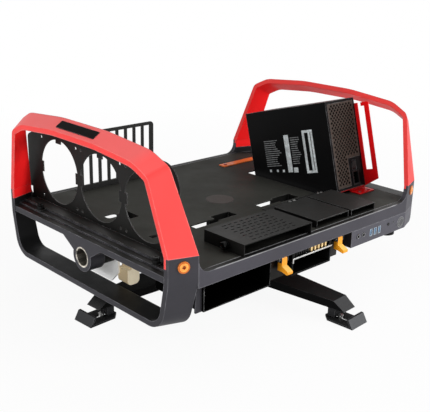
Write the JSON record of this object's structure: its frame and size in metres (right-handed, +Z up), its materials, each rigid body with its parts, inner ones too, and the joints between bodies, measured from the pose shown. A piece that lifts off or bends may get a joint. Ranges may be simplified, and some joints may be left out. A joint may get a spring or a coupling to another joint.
{
  "type": "open air test bench",
  "caption": "Open test bench with end handles, slotted deck, fan plate, card comb, drive covers, leaning power supply and a cross stand.",
  "frame": {"origin": "on the floor under the stand's post, in the middle of the bench", "axes": "+X to the right along the bench, towards the power supply's end; +Y to the back; +Z up"},
  "size_m": [0.6364, 0.6364, 0.322],
  "materials": {
    "frame_grey": "fine satin powder coat",
    "handle_red": "satin red coat",
    "cradle_red": "satin red coat on sheet",
    "deck_black": "fine matte powder coat",
    "sheet_black": "satin black coat on sheet",
    "stand_black": "matte black coat",
    "black_plastic": "fine moulded grain",
    "bumper_rubber": "matte",
    "bolt_orange": "anodised",
    "latch_yellow": "smooth moulded",
    "bright_steel": "brushed",
    "bare_steel": "brushed sheet",
    "socket_chrome": "polished",
    "pin_gold": "plated",
    "port_blue": "moulded",
    "catch_cream": "smooth moulded",
    "psu_black": "fine black coat",
    "vent_dark": "dark coat on pierced sheet",
    "button_grey": "satin anodised",
    "cap_grey": "fine moulded grain",
    "lamp_clear": "smoked moulded"
  },
  "bodies": {
    "bench": {"base_frame": "frame_grey", "left_end_frame": "frame_grey", "io_panel": "frame_grey", "bay_bracket": "frame_grey", "latch_brackets": "frame_grey", "left_handle": "handle_red", "right_handle": "handle_red", "psu_cradle": "cradle_red", "psu_stay": "cradle_red", "deck_plate": "deck_black", "fan_bracket": "sheet_black", "slot_bracket": "sheet_black", "drive_cover_large": "sheet_black", "drive_cover_middle": "sheet_black", "drive_cover_right": "sheet_black", "lower_bay": "sheet_black", "socket_tube": "sheet_black", "handle_plate": "sheet_black", "deck_socket": "stand_black", "dock_housing": "black_plastic", "fan_bracket_screws": "black_plastic", "cover_knob": "black_plastic", "psu_inlet": "black_plastic", "audio_jacks": "black_plastic", "panel_bumper": "bumper_rubber", "handle_bolts": "bolt_orange", "slot_bracket_screws": "bright_steel", "cover_screws": "bright_steel", "cradle_screws": "bright_steel", "latch_pins": "bright_steel", "usb_shells": "bright_steel", "dock_bezel": "bright_steel", "socket_plate": "bare_steel", "socket_liner": "socket_chrome", "dock_pins": "pin_gold", "usb_tongues": "port_blue", "catch_block": "catch_cream", "psu_case": "psu_black", "psu_grille": "vent_dark", "deck_cap": "cap_grey", "status_lamp": "lamp_clear"},
    "stand": {"stand_hub": "stand_black", "stand_post": "bright_steel", "front_arm": "stand_black", "back_arm": "stand_black", "left_arm": "stand_black", "right_arm": "stand_black", "front_foot": "stand_black", "back_foot": "stand_black", "left_foot": "stand_black", "right_foot": "stand_black", "foot_bolts": "bright_steel"},
    "power_button": {"power_button": "button_grey"},
    "reset_button": {"reset_button": "button_grey"},
    "left_latch": {"left_latch": "latch_yellow"},
    "right_latch": {"right_latch": "latch_yellow"},
    "psu_switch": {"psu_switch": "black_plastic"}
  },
  "joints": [
    {"name": "stand_swivel", "type": "hinge", "parent": "bench", "child": "stand", "pos_m": [0, 0, 0.1], "axis": [0, 0, 1], "continuous": true},
    {"name": "power_button_press", "type": "slide", "parent": "bench", "child": "power_button", "axis": [0, 1, 0], "range_m": [0, 0.0012], "stiffness_N_per_m": 800},
    {"name": "reset_button_press", "type": "slide", "parent": "bench", "child": "reset_button", "axis": [0, 1, 0], "range_m": [0, 0.0008], "stiffness_N_per_m": 500},
    {"name": "left_latch_swing", "type": "hinge", "parent": "bench", "child": "left_latch", "pos_m": [-0.073, -0.222, 0.1135], "axis": [-1, 0, 0], "range_deg": [0, 40]},
    {"name": "right_latch_swing", "type": "hinge", "parent": "bench", "child": "right_latch", "pos_m": [0.069, -0.222, 0.1135], "axis": [-1, 0, 0], "range_deg": [0, 40]},
    {"name": "psu_switch_rock", "type": "hinge", "parent": "bench", "child": "psu_switch", "pos_m": [0.2395, -0.11715, 0.18993], "axis": [-1, 0, 0], "range_deg": [0, 14]}
  ]
}
